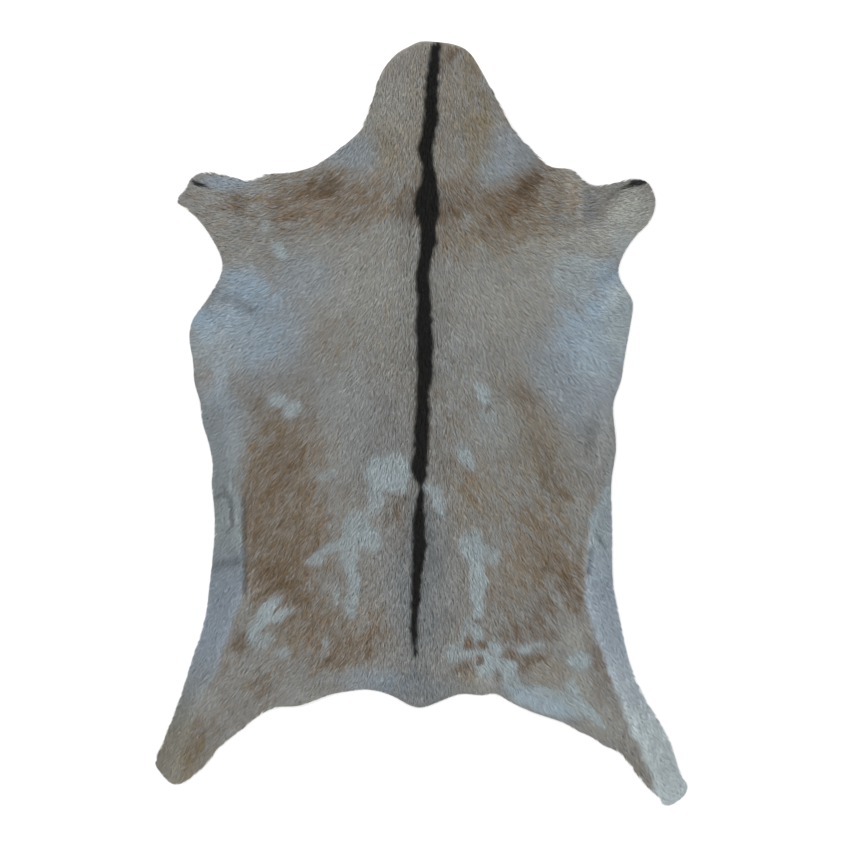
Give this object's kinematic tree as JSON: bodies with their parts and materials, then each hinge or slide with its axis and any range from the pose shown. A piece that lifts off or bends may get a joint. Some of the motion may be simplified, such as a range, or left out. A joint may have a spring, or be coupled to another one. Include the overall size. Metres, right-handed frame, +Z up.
{
  "type": "goatskin rug",
  "caption": "Whole tanned goatskin with its short coat on, laid flat hair side up as a floor rug, with a dark stripe along the spine.",
  "frame": {"origin": "on the floor, under the middle of the hide's outline", "axes": "+Z up out of the coat, +Y along the spine to the neck, +X to the right seen from above with the neck up"},
  "size_m": [0.7156, 1.0322, 0.0122],
  "materials": {
    "goatskin": "hair-on hide with a short, flat, matte coat in grey-brown, pale patches and a near-black spine stripe"
  },
  "bodies": {
    "root": {"goatskin": "goatskin"}
  },
  "joints": []
}
